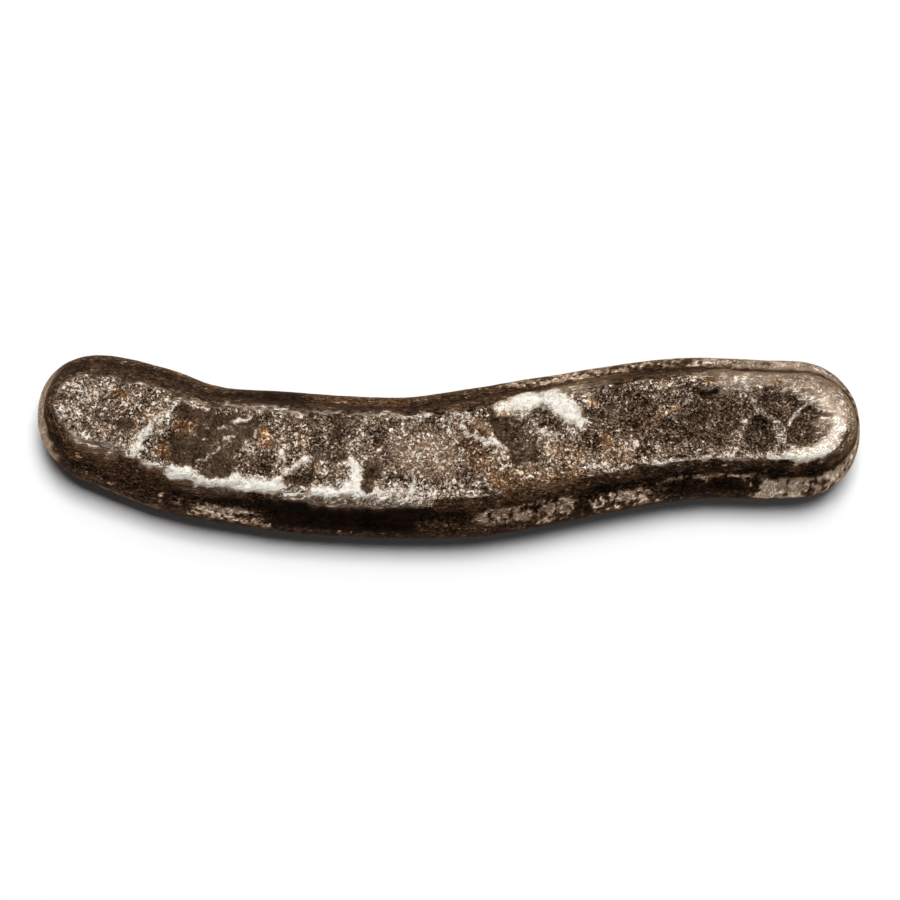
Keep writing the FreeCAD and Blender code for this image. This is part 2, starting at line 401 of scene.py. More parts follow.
# The plain skin of the sides and of the face, before anything is painted over it
PLAIN_SIDE = {"grain": 0.50, "rust": 0.27, "smooth": 0.15, "streak": 1.0}
PLAIN_FACE = {"grain": 0.95, "rust": 0.11, "smooth": 0.0, "streak": 0.0}
STROKE_SPREAD = 1.25      # the strokes' half widths are multiplied by this
STROKE_STRAY = 0.45       # mm by which noise bends the strokes
STROKES = [               # (kind, strength, half width, places that the stroke runs through)
    # the left tip
    ("bright", 0.7, 1, (-53.4, 3.6)),
    ("bright", 0.45, 1.3, (-51, -0.2), (-47.5, -1.6), (-44.5, -2.4)),
    ("stain", 0.8, 0.9, (-45.3, 6.1), (-44.6, 5.8)),
    ("stain", 0.5, 1.1, (-41.4, 3.2), (-40.8, 3.1)),
    ("pale", 0.8, 1.2, (-41.4, 3.2), (-40.8, 3.1)),
    ("stain", 0.7, 0.45, (-43, 1.8), (-43, 0.4)),
    ("skin", 0.9, 0.9, (-44.3, 1.5), (-44.1, 1.1)),
    ("skin", 0.6, 0.45, (-41.6, 1.6), (-41.7, 0.8)),
    ("crest_highlight", 0.8, 0.75, (-43, -2.7), (-42.3, -1.2), (-41.6, 0.1)),
    ("ridge", 0.55, 0.75, (-41.6, 0.1), (-40.6, 1.3), (-39.1, 2.9), (-37.5, 4.2)),
    ("bright", 0.9, 0.55, (-38.9, 0.6)),
    ("bright", 0.9, 0.35, (-36.9, -2)),
    # the dark skins beyond the first ridge
    ("skin", 1, 2, (-36.6, -1.6), (-35.2, -2.4)),
    ("stain", 1, 1.2, (-39, -1.9), (-38.8, -2.3)),
    ("stain", 0.9, 1.1, (-37, 1.2), (-35.2, 1.2)),
    ("skin", 1, 0.85, (-36.4, 3.4), (-34.6, 3.1)),
    ("pale", 0.9, 0.8, (-39, 5.3), (-36, 5), (-33, 4)),
    ("skin", 1, 1.7, (-32.8, 1.3), (-30, 1.2), (-27, 1)),
    ("skin", 0.8, 1.3, (-32.5, -0.9), (-28.5, -0.5)),
    ("ridge", 1, 0.4, (-29.2, 1.8), (-27.2, 2.7)),
    ("skin", 1, 1.2, (-32.2, -3.9), (-30, -3.2)),
    ("skin", 1, 1.15, (-32.4, -4.9), (-30.9, -4.9)),
    ("ridge", 0.7, 0.28, (-34, -3.8), (-32.2, -2.8), (-31.3, -1.7)),
    ("bright", 0.8, 0.55, (-27.4, -0.8), (-27.5, -1.8)),
    ("bright", 0.6, 0.3, (-29.4, -2.9), (-27.5, -2.8)),
    ("stain", 0.9, 0.95, (-25.2, 0.9), (-25, -0.9)),
    ("stain", 0.6, 0.6, (-28.6, -3.5)),
    ("stain", 0.5, 0.9, (-20.8, 1.2), (-20.2, 0.6)),
    ("pale", 0.8, 0.8, (-21.3, 2.9), (-20.6, 2.5)),
    ("bright", 0.9, 0.6, (-22.8, -2.3), (-22.6, -2.9)),
    ("bright", 0.8, 0.3, (-23.2, -3.7), (-23.6, -4.4)),
    ("bright", 0.7, 0.45, (-20.9, -0.2)),
    ("bright", 0.5, 0.7, (-26, 3.4), (-22, 3.3), (-19.5, 2.8)),
    ("bright", 0.8, 0.4, (-19.5, 3.7), (-14, 3.3), (-8, 3.2)),
    ("bright", 0.7, 0.5, (-31, 4.6), (-27, 4.3), (-22, 4)),
    ("skin", 0.6, 0.85, (-19, 1.9), (-18.4, 1.6)),
    ("skin", 0.8, 0.5, (-15.3, 0.7), (-15.5, -0.8)),
    ("skin", 0.7, 0.75, (-15, 2.2), (-12.6, 1.8)),
    ("skin", 0.6, 0.8, (-18.2, -2.8), (-14.8, -2.8)),
    ("pit", 0.6, 0.5, (-18.7, -3.6), (-18.7, -5.5)),
    ("ridge", 0.9, 0.75, (-22.4, -5.2), (-20.9, -4.5), (-19.2, -3.4)),
    ("pit", 0.7, 0.75, (-21.5, -6.3), (-19.2, -6.2)),
    ("stain", 0.35, 0.75, (-17.6, -5), (-15, -5)),
    ("pale", 0.6, 0.75, (-17.6, -5), (-15, -5)),
    ("dull", 0.8, 1.4, (-27.6, -4.2), (-25, -4.4)),
    ("bright", 1, 0.3, (-33, 1)),
    ("bright", 1, 0.3, (-31.2, 1), (-30.8, 0.9)),
    ("bright", 1, 0.3, (-29.7, 1)),
    ("bright", 1, 0.3, (-33, -0.6)),
    ("bright", 1, 0.35, (-30.6, -0.4), (-29.6, -0.4)),
    ("bright", 1, 0.35, (-26.3, 0.8), (-26.6, -0.2)),
    # the bright band along the face's front edge: pale silver and a painted highlight, with a painted
    # bluish sheen under it
    ("bright", 0.9, 0.8, (-41.5, -3.9), (-39.5, -4.2)),
    ("crest_highlight", 0.8, 1.15, (-37.6, -4.9), (-35.6, -5.3)),
    ("crest_highlight", 0.8, 0.85, (-34, -6.5), (-31, -6.7), (-29, -6)),
    ("crest_highlight", 1, 1.05, (-29.5, -6.8), (-26, -7), (-23, -7)),
    ("bright", 0.8, 0.9, (-22, -7.7), (-18, -8)),
    ("crest_highlight", 0.9, 1, (-18, -8), (-15, -8), (-12, -8.2)),
    ("crest_highlight", 1, 1.25, (-13.2, -6.9), (-12.4, -6.7)),
    ("crest_highlight", 0.9, 0.75, (-13.1, -3.9), (-12.5, -5.2)),
    ("crest_highlight", 0.8, 1, (-12, -8.5), (-8, -8.6)),
    ("bright", 0.7, 0.8, (-8, -8.4), (-4.5, -8.6)),
    # painted bluish sheen on the bevel under the band, on silver worn smooth
    ("grey", 0.9, 1.05, (-18.5, -9), (-13, -9.3), (-8, -9.3)),
    ("grey", 0.5, 0.8, (-37, -6.6), (-33, -7.6), (-28, -7.9)),
    ("bright", 0.45, 0.6, (-3.5, -8.2), (0, -8), (3.8, -8)),
    ("skin", 0.9, 0.95, (-10, -4.4), (-10.8, -5.5)),
    ("pit", 0.5, 0.5, (-10.6, -5), (-11.2, -5.6)),
    ("skin", 0.8, 0.7, (-11.2, -6.9), (-10.7, -7.3)),
    # the even, fine-grained stretch
    ("even", 0.9, 3.8, (-6, -2.8), (-0.5, -2.8)),
    ("ridge", 0.9, 0.4, (-4.5, -5), (-4.7, -6.6), (-4.9, -8)),
    ("bright", 0.6, 0.4, (-4.7, -2.4), (-4.6, -3)),
    ("pale", 0.6, 0.35, (-8.5, -4.4), (-8.5, -5.8)),
    ("pale", 0.6, 0.35, (0.6, -4.5), (0.7, -5.8)),
    ("stain", 0.5, 0.65, (-9.5, -1.4), (-8.9, -1.4)),
    ("bright", 0.5, 0.55, (-8.1, 0.4), (-7.9, -0.4)),
    ("bright", 0.4, 0.6, (-12.6, -3.3), (-10.4, -3.3)),
    ("bright", 0.75, 0.55, (-8, 3), (-5, 2.7), (-2, 3)),
    ("bright", 0.5, 0.7, (-1.8, 2.5), (-0.4, 2.8)),
    # the raised mound and its bright rim
    ("mound", 0.8, 3.4, (4.2, -0.8), (5.6, -3.6)),
    ("ridge", 0.7, 0.7, (0.8, 3.2), (2.2, 2.8), (3.4, 2)),
    ("ridge", 0.9, 0.45, (2, 1.2), (2.3, 0.1), (3.6, -0.1)),
    ("crest_highlight", 0.6, 0.7, (3.8, -0.6), (5.2, -1.1), (6.6, -1)),
    ("ridge", 0.8, 0.6, (6.4, -0.9), (7.2, -1.6), (7.8, -2.4)),
    ("pale", 1, 1.3, (4, 1.9), (5.3, 0.6)),
    ("stain", 0.4, 1.2, (4, 1.9), (5.3, 0.6)),
    ("stain", 1, 1.3, (2.9, -1.4), (4.6, -3.6)),
    ("dull", 0.6, 1.2, (2.9, -1.4), (4.6, -3.6)),
    ("pit", 0.4, 0.65, (2.7, 1.5), (2.8, 1)),
    ("pit", 0.4, 0.4, (4.3, 0.3), (4.8, 0.3)),
    ("stain", 0.5, 1.6, (5.5, -4.6), (8.6, -4.9)),
    ("pale", 0.6, 1.2, (6.5, -3.6), (9, -4.8)),
    ("stain", 0.9, 0.8, (6.4, -6.7), (7.6, -6.6)),
    # the dark floor inside the white arch
    ("skin", 1, 1.2, (6.7, 1.7), (7.6, 0.7)),
    ("skin", 0.8, 1.5, (8.8, 1), (9.2, -0.6)),
    ("skin", 0.9, 1.4, (9.3, -2), (10.9, -2.2)),
    ("hollow", 0.8, 2.8, (9.6, -0.4), (13, 1.6)),
    ("stain", 0.9, 0.45, (6.8, 3), (7.7, 3)),
    ("ridge", 0.5, 0.3, (11.5, 0.7), (14.2, 1.2)),
    ("bright", 0.5, 0.45, (12.4, 0), (16, 0.2), (18.5, 0.4)),
    ("bright", 0.5, 0.55, (12, 2.6), (13.4, 2.8)),
    # the white arch: clean silver on raised ridges, and a painted highlight on them
    ("crest_highlight", 0.7, 1.25, (7.4, 4), (10, 4.9)),
    ("crest_highlight", 1, 1.45, (10, 4.9), (12.2, 5.1), (14.2, 5.4)),
    ("crest_highlight", 1.2, 1.65, (14.4, 5.2), (15.6, 4.3), (16.9, 3)),
    ("crest_highlight", 1, 1.25, (16.9, 2.8), (17.9, 1.7)),
    ("ridge", 0.6, 0.6, (10.2, 2.9), (11.4, 3.4)),
    ("bright", 0.8, 0.55, (11.6, 1.9), (12.3, 0.9), (13.2, 0.2)),
    ("bright", 0.7, 0.9, (15.5, 1.2), (17.8, 0.2)),
    ("worn", 0.55, 1.5, (16.6, 6.9), (19, 6.3)),
    ("pale", 0.9, 1.9, (14.2, -2.2), (17.4, -2.6)),
    ("bright", 0.25, 1.9, (14.2, -2.2), (17.4, -2.6)),
    ("stain", 0.3, 1.9, (14.2, -2.2), (17.4, -2.6)),
    ("pale", 0.5, 1, (9, -5), (17, -4.6)),
    ("stain", 0.35, 1, (9, -5.6), (19, -5.2)),
    # the brown, even-grained stretch
    ("skin", 0.6, 0.85, (19.1, 2.9), (20.6, 2.9)),
    ("stain", 1, 0.7, (19.6, 4.7), (20.1, 4.6)),
    ("stain", 0.3, 1, (18.9, 0.9), (19.3, 0.4)),
    ("dull", 1, 0.6, (20.3, -0.2), (20.3, -2)),
    ("stain", 0.9, 0.95, (21.7, -0.1), (21.6, -1.2)),
    ("stain", 0.35, 1.4, (22, -2.8), (24, -2.8)),
    ("pale", 0.35, 1.4, (22, -2.8), (24, -2.8)),
    ("dull", 0.7, 4.2, (24, 3), (29, 1)),
    ("bright", 0.7, 0.3, (28.5, -0.7), (28.6, -1.4)),
    ("bright", 0.7, 0.3, (26.3, -3.4), (26.8, -3.5)),
    ("bright", 0.6, 0.35, (27.8, -3.6), (32, -3.5)),
    ("rise", 0.6, 0.9, (27.2, 1.6), (29.5, 3), (31.2, 4), (33.6, 5.3)),
    ("stain", 0.4, 0.7, (27.2, 1.6), (29.5, 3), (31.2, 4)),
    ("bright", 0.6, 0.45, (30.9, 2.5), (31.1, 1.8)),
    ("bright", 0.5, 0.3, (30.2, 6.8), (31.4, 8)),
    ("bright", 1, 0.35, (18.5, -4.4), (21.5, -4.4)),
    ("bright", 1, 0.4, (26, -4), (29, -3.8), (32, -3.6)),
    ("bright", 0.6, 0.45, (33, -3.3), (38, -3.1), (43, -3)),
    # the bump with its overhang, and a painted shadow under the overhang
    ("mound", 0.9, 1.5, (35.4, 7), (35.9, 7.2)),
    ("bright", 0.5, 1, (35.2, 6.9), (36, 7)),
    ("stain", 1, 0.6, (35.6, 7.4), (36, 7.6)),
    ("pale", 0.8, 0.8, (33.5, 8.6), (36.5, 8.4)),
    # a painted shadow under the overhang
    ("pit", 1, 0.36, (34.6, 5.6), (35.9, 5.6), (36.9, 6.2)),
    # the hollow and the branching ridges, with painted shade in the hollows
    ("hollow", 1.3, 3.8, (35.8, 2), (37.6, 1.6)),
    ("dull", 0.8, 3.8, (35.8, 2), (37.6, 1.6)),
    ("rise", 1, 0.95, (40.8, 7), (41.9, 5.8), (42.2, 4.3), (42.6, 3.2)),
    ("rise", 0.8, 0.9, (42.3, 2.8), (41, 2.2), (40, 1), (39.4, -0.4), (39.1, -1.8)),
    ("rise", 0.8, 0.8, (42.6, 3.2), (43.9, 2.8), (44.6, 1.7)),
    ("rise", 1, 1.15, (44.6, 1.7), (45.3, 0.4), (45.1, -1), (44.8, -2.2)),
    ("hollow", 1.3, 2, (44.4, 5), (46.6, 4.3)),
    ("dull", 1, 2, (44.2, 5.2), (46.6, 4.3)),
    ("hollow", 0.9, 0.9, (45.9, 2.6), (46.1, 1.8)),
    ("dull", 1, 0.9, (45.9, 2.6), (46.1, 1.8)),
    ("hollow", 1.2, 1.9, (42.4, 0.9), (42.9, -0.6)),
    ("dull", 1.2, 1.8, (42.4, 0.9), (42.9, -0.6)),
    # a painted shadow in the hollow beside the sharp ridge, whose white edge is a painted highlight
    ("hollow", 1.7, 2.1, (49.2, 3), (48.4, 0)),
    ("dull", 1.2, 2.1, (49.2, 3), (48.4, 0)),
    ("crest_highlight", 0.5, 0.4, (46.7, 1.8), (47.7, 3.2), (48.7, 4.1), (49.6, 4.7)),
    ("pit", 0.5, 0.35, (48.5, 3.4), (49.4, 4.1)),
    ("bright", 0.7, 0.5, (46.4, -1.7), (48.4, -1.6)),
    ("stain", 0.5, 0.5, (39.3, -1.6), (39.4, -2.4)),
    ("stain", 1, 0.55, (45, 7.4), (45.5, 7.5)),
    ("pit", 1, 0.35, (44.9, 8.5)),
    # the worn shoulder round the right tip, with painted highlights on it and a painted cream
    # crescent
    ("worn", 0.9, 1.3, (37.5, 9.4), (43, 9.2), (48, 8.6), (51, 7.2)),
    ("worn", 0.9, 2, (50.6, 6.6), (52.6, 4.2), (52.8, 2)),
    ("worn", 0.8, 1.2, (50.9, 1.4), (50.9, 0.4)),
    ("bright", 0.4, 1.1, (46.6, 6.8), (48.8, 5.8), (50.6, 4.8)),
    ("bright", 0.9, 0.8, (44, -2.9), (48, -2.8)),
    # the cream crescent along the rim: polished silver and a painted highlight
    ("satin_highlight", 1, 1.15, (47.4, -2.9), (50.6, -2.3), (52.4, -1)),
    ("satin_highlight", 1, 1.25, (52, -1), (53.1, 0.3), (53.5, 2)),
    ("crest_highlight", 0.8, 0.55, (44, -3.1), (49.5, -3), (51.6, -2.1)),
    ("satin_highlight", 0.45, 0.9, (49, 5.4), (51.6, 4.6), (53, 3.4)),
]
BAND_STRAY = 1.5          # mm by which noise moves a band's two ends
BAND_END = 1.4            # mm over which they fade
BAND_EDGE = 0.13          # ring places over which its edges fade
# Bands on the sides: (kind, strength, front or back, from x, to x, from ring place, to ring place)
BANDS = [
    # The black bands along the front's lip and crease are black tarnish and painted shade together
    ("black", 1, "front", -25, -4, 3.7, 5.7),
    ("black", 0.6, "front", -4, 18, 4.9, 5.6),
    ("black", 0.7, "front", 30, 42, 3.7, 4.7),
    ("black", 0.6, "front", 17, 24, 3.4, 4.4),
    ("black", 0.9, "front", 46.6, 49.8, 4, 4.8),
    ("tan", 0.9, "front", 4, 16.5, 4.1, 5.3),
    ("tan", 0.9, "front", 29.5, 43, 4.85, 5.15),
    ("black", 0.6, "back", -28, -20, 3.4, 6),
    ("brown", 0.8, "back", -18, -5, 3.2, 5),
    ("brown", 0.6, "front", -53, -38, 4.8, 6.6),
    ("brown", 0.5, "front", -2, 18, 5.3, 6.4),
    ("brown", 0.7, "front", 7, 18, 6.3, 7.2),
    ("worn", 0.45, "back", 14.5, 22.5, 4.9, 6.6),
    ("worn", 0.85, "back", 35.5, 60, 5.1, 7.4),
    ("worn", 0.5, "front", 53, 60, 5.1, 6.6),
    ("worn", 1, "both", -60, -54.4, 2.6, 5.2),
    ("tan", 0.6, "front", -53, -39, 2.7, 3.2),
    # a painted highlight along the front bevel's upper edge, and a painted bluish sheen under it
    ("bright", 0.8, "front", -24, -2, 5.95, 7.3),
    ("bright", 0.7, "front", -38.5, -24, 6.3, 7.3),
    ("grey", 0.7, "front", -19, -5, 5.75, 6.3),
]
# The tone along the face's middle, by x, and up the two sides, by ring place
FACE_TONES = [
    (-57, 0.47), (-46, 0.44), (-38, 0.42), (-30, 0.37), (-22, 0.4), (-12, 0.41),
    (0, 0.43), (10, 0.45), (17, 0.44), (22, 0.4), (30, 0.385), (40, 0.385),
    (47, 0.38), (57, 0.47),
]
# The front side is painted darker than the back, and both dip dark into the crease under the face:
# dark tarnish and painted shade together
FRONT_TONES = [
    (0, 0.18), (2.4, 0.15), (3, 0.17), (3.6, 0.2), (4.3, 0.21), (4.9, 0.12), (5.3, 0.11),
    (5.9, 0.2), (6.5, 0.23), (7, 0.27),
]
BACK_TONES = [
    (0, 0.18), (2.4, 0.23), (3, 0.29), (3.7, 0.31), (4.4, 0.27), (5, 0.18), (5.5, 0.22),
    (6.3, 0.27), (7, 0.31),
]
# How much of the lip is painted tan, by x, for tarnish rubbed off and painted reflection of the white
# floor: none at -1, all at 1
FRONT_TAN = [
    (-57, 0.5), (-54, -0.5), (-46, -0.4), (-38, 0), (-33, 0.4), (-27, 0.3),
    (-23, -0.5), (-5, -0.9), (2, -0.6), (6, -0.5), (10, -0.4), (16, 0),
    (19, 0), (24, 0.25), (29, 0.1), (32, -0.6), (40, -0.3), (43.5, 0.6),
    (48, 0.5), (50, 0.1), (55, 0.7), (57, 0.7),
]
BACK_TAN = [
    (-57, 0.5), (-54, -0.4), (-40, -0.6), (-20, -0.8), (-4, -0.5), (8, -0.2),
    (13, 0.25), (24, 0), (30, -0.1), (34, 0.6), (50, 0.8), (57, 0.7),
]
SIDE_BLEND = 1.6          # mm either way over which the front side turns into the back
SIDE_SHIFT = 0.045        # mm from the bar's line back to the middle of that blend
NOISES = {                # name: (stretch along x, size of the largest waves in mm, octaves, seed)
    "broad": (1.0, 7.0, 2, 11), "patchy": (1.0, 2.6, 3, 21), "fine": (1.0, 1.1, 2, 31),
    "streaky": (0.4, 1.4, 3, 81), "speckly": (1.0, 0.75, 2, 101), "clumpy": (1.0, 1.7, 2, 91),
    "stray_x": (1.0, 1.3, 4, 51), "stray_y": (1.0, 1.3, 4, 61),
}
COARSE_GRAIN, FINE_GRAIN = 1.1, 0.6   # mm, the size of the casting's granules
FACE_SINK = 0.36          # mm that the rough face is sunk, so that its relief stays within the bar
SIDE_RELIEF = 0.25        # share of the relief that shows on the sides


def paint(layers, kind, cover):
    """Mixes a kind's values into the layers as far as cover says, and adds its relief."""
    _, raised, *values = KINDS[kind]
    layers["relief"] += raised * cover
    for layer, value in zip(LAYERS, values):
        if value is not None:
            layers[layer] += (value - layers[layer]) * np.clip(cover, 0.0, 1.0)


def between(value, start, stop, edge):
    """1 between start and stop, falling to 0 over an edge's width outside them."""
    return ease(value, start - edge, start + edge) * (1 - ease(value, stop - edge, stop + edge))


def skin_layers(points, depth):
    """The layers of the skin at every point, as arrays by name.

    Tones are read along the face and up the sides. Then rubbed places, bands and strokes are
    painted over them in turn, at places that noise has nudged. The rubbed places are tan, for rubbed
    tarnish and painted reflection of the white floor, and some strokes are painted highlights and
    shade.
    """
    x = points[:, 0]
    front = front_side(points)
    broad, patchy, fine, streaky, speckly, clumpy, stray_x, stray_y = (
        rough(points * np.array([stretch, 1.0, 1.0]), size, octaves, seed)
        for stretch, size, octaves, seed in NOISES.values()
    )
    place = depth + 0.16 * patchy + 0.10 * fine
    face = ease(place, FACE - 0.40, FACE + 0.05)
    sides = blend(np.interp(place, *zip(*BACK_TONES)), np.interp(place, *zip(*FRONT_TONES)), front)
    layers = {name: blend(PLAIN_SIDE[name], PLAIN_FACE[name], face) for name in PLAIN_SIDE}
    layers["tone"] = blend(sides, np.interp(x, *zip(*FACE_TONES)), face)
    layers["rust"] += 0.08 * broad
    layers["relief"] = np.zeros(len(points))
    tan_noise = 0.50 * streaky + 0.35 * patchy + 0.65 * speckly
    for kind, strength, side, x0, x1, low, high in BANDS:
        mark = between(x + BAND_STRAY * streaky, x0, x1, BAND_END)
        mark *= between(place, low, high, BAND_EDGE)
        if kind == "tan":
            mark *= ease(tan_noise, -0.40, -0.15)
        mark *= {"front": front, "back": 1 - front, "both": 1.0}[side]
        paint(layers, kind, mark * strength)
    # The lip, painted tan here and there for tarnish rubbed off and for painted reflection of the
    # white floor, and worn smooth as well at the right tip.
    tan_by_x = blend(np.interp(x, *zip(*BACK_TAN)), np.interp(x, *zip(*FRONT_TAN)), front)
    # On the front, left of x = 40, the tan is kept off the lowest rim, which stays dark as painted
    # shade of the underside
    lowest = 2.95 + 0.40 * front * (x < 40)
    tan_wear_and_reflection = ease(tan_by_x + tan_noise, 0.10, 0.35) * between(depth + 0.12 * fine, lowest, 4.75, 0.2)
    paint(layers, "tan", tan_wear_and_reflection)
    paint(layers, "worn", 0.6 * tan_wear_and_reflection * ease(x, 41.0, 45.0))
    strayed = points + STROKE_STRAY * np.stack([stray_x, stray_y, 0 * x], axis=1)
    upper = ease(depth, ROOT, BROW)
    for kind, strength, half, *path in STROKES:
        mark = brush(strayed, path, half * STROKE_SPREAD, KINDS[kind][0])
        paint(layers, kind, mark * strength * upper)
    # Lumps and granules, in mm. The sides were chilled by the mould, and are much less rough.
    raised = ease(depth, ROOT + 0.5, FACE - 0.1)
    roughness = SIDE_RELIEF + (1 - SIDE_RELIEF) * raised
    granules = grains(points, COARSE_GRAIN, 71) - 0.5 + 0.5 * (grains(points, FINE_GRAIN, 75) - 0.5)
    lumps = 0.20 * patchy + 0.10 * fine + 0.18 * granules + 0.10 * clumpy
    lumps *= layers["grain"].clip(0.2, 1) * roughness
    layers["relief"] = layers["relief"] * roughness + lumps + 0.08 * broad - FACE_SINK * raised
    # Tone follows the lumps' height: hollows keep their tarnish and are painted darker as shade, and
    # tops are rubbed paler.
    layers["tone"] += 0.03 * broad + 0.04 * patchy + 0.42 * lumps
    layers["rust"] += 0.08 * patchy
    for name in LAYERS:
        layers[name] = np.clip(layers[name], LEAST_RUST if name == "rust" else 0.0, 1.0)
    return layers


def front_side(points):
    """1 on the side that faces -Y of the bar's own line, 0 on the other, blended at the tips."""
    line = through(BEND, points[:, 0] / bar_length() + 0.5, "ends")
    return 1 - ease(points[:, 1] - line - SIDE_SHIFT, -SIDE_BLEND, SIDE_BLEND)


def new_object(name, points, faces):
    """A mesh object at the origin from points in metres and lists of corner numbers."""
    mesh = bpy.data.meshes.new(name)
    mesh.from_pydata(points, [], faces)
    mesh.update()
    thing = bpy.data.objects.new(name, mesh)
    bpy.context.scene.collection.objects.link(thing)
    return thing


def cast_bar(bar):
    """The whole bar as one smooth-shaded mesh that carries its skin's layers."""
    grid, depth = bar_rings(bar)
    out = normals(grid).reshape(-1, 3)
    points = grid.reshape(-1, 3)
    layers = skin_layers(points, np.repeat(depth, AROUND))
    shaped = points + out * layers["relief"][:, None] * bar.relief
    shaped[:, 2] = np.clip(shaped[:, 2], 0.0, bar.thickness + TALLEST_GRIT)
    piece = new_object("cast_silver_bar", shaped * MM, ring_faces(len(grid)))
    for name in LAYERS:
        layer = piece.data.attributes.new(name, "FLOAT", "POINT")
        layer.data.foreach_set("value", layers[name].astype(np.float32))
    smooth = np.ones(len(piece.data.polygons), dtype=bool)
    piece.data.polygons.foreach_set("use_smooth", smooth)
    return piece


# ---- materials ----
def add_node(tree, kind, settings=None, links=None):
    """Adds a node: settings go to its own attributes or its inputs, and links feed its inputs.

    A link comes from a socket, or from a node's first output where the node itself is given.
    """
    node = tree.nodes.new(kind)
    for name, value in (settings or {}).items():
        if isinstance(name, str) and hasattr(node, name):
            setattr(node, name, value)
        else:
            node.inputs[name].default_value = value
    for name, source in (links or {}).items():
        tree.links.new(getattr(source, "outputs", [source])[0], node.inputs[name])
    return node


def new_material(name):
    """An empty node material, its node tree and its output node."""
    material = bpy.data.materials.new(name)
    material.use_nodes = True
    material.node_tree.nodes.clear()
    return material, material.node_tree, add_node(material.node_tree, "ShaderNodeOutputMaterial")


def per_metre(size_mm):
    """A texture's scale for features of that size."""
    return 1 / (size_mm * MM)


# Sizes of the skin's patterns in mm. The real sulphide crystals are far finer than CRYSTAL, and
# are drawn as coarse as they need to be to show.
GRIT = 0.46               # crumbs of oxide and sand
CRYSTAL = 0.20
GLINT_LOOPS = 0.95        # the bends of the winding lines of clean silver
GLINT_GAPS = 0.55         # the breaks along those lines
RUST_CLOUDS = 1.3
GRIT_HEIGHT = 0.22        # how far the grit stands up


